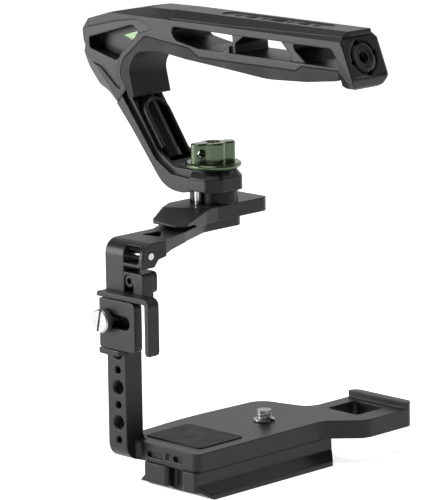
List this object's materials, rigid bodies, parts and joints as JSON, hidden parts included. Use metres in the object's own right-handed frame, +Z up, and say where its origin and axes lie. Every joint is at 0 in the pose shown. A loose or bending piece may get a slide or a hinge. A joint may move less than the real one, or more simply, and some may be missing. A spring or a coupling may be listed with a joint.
{
  "type": "camera cage with top handle",
  "caption": "Half cage for a small camera: tapped side upright, strap slot, cable clamp, dovetail base and a raked top handle held by a winged knob.",
  "frame": {"origin": "middle of the dovetail plate's underside, the surface that the cage stands on", "axes": "+X to the right seen from behind the camera, +Y forward along the lens, +Z up"},
  "size_m": [0.1348, 0.1625, 0.193],
  "materials": {
    "dark_anodised": "satin, bead-blasted and anodised charcoal",
    "black_anodised": "satin, anodised black",
    "green_anodised": "satin, anodised pale olive green",
    "black_rubber": "matte silicone rubber",
    "steel": "plain stainless steel",
    "black_steel": "black oxide",
    "chrome": "polished"
  },
  "bodies": {
    "cage": {"cage_frame": "dark_anodised", "top_platform": "dark_anodised", "platform_screws": "black_steel", "dovetail_plate": "dark_anodised", "plate_screws": "black_steel", "base_pad": "black_rubber", "strap_pin": "chrome", "clamp_bracket": "dark_anodised", "clamp_bracket_screw": "black_steel"},
    "handle": {"handle_frame": "dark_anodised", "handle_neck": "dark_anodised", "handle_cover": "dark_anodised", "grip_pad": "black_rubber", "rear_insert": "steel", "front_insert": "green_anodised", "neck_bolt": "steel", "foot_spigot": "black_anodised", "locating_pins": "chrome", "knob_washer": "black_steel"},
    "knob": {"knob": "green_anodised", "knob_stud": "steel"},
    "clamp_jaw": {"clamp_jaw": "dark_anodised"},
    "clamp_screw": {"clamp_screw": "steel"},
    "camera_screw": {"camera_screw": "steel", "camera_screw_clip": "steel"}
  },
  "joints": [
    {"name": "handle_lift", "type": "slide", "parent": "cage", "child": "handle", "axis": [0, 0, 1], "range_m": [0, 0.008]},
    {"name": "knob_turn", "type": "hinge", "parent": "handle", "child": "knob", "pos_m": [0.01905, 0.0323, 0.13], "axis": [0, 0, 1], "continuous": true},
    {"name": "clamp_jaw_slide", "type": "slide", "parent": "cage", "child": "clamp_jaw", "axis": [0, 1, 0], "range_m": [0, 0.011]},
    {"name": "clamp_screw_turn", "type": "hinge", "parent": "cage", "child": "clamp_screw", "pos_m": [-0.05245, 0.0245, 0.0729], "axis": [1, 0, 0], "continuous": true},
    {"name": "camera_screw_turn", "type": "hinge", "parent": "cage", "child": "camera_screw", "pos_m": [0.01905, 0.0038, 0.005], "axis": [0, 0, 1], "continuous": true}
  ]
}
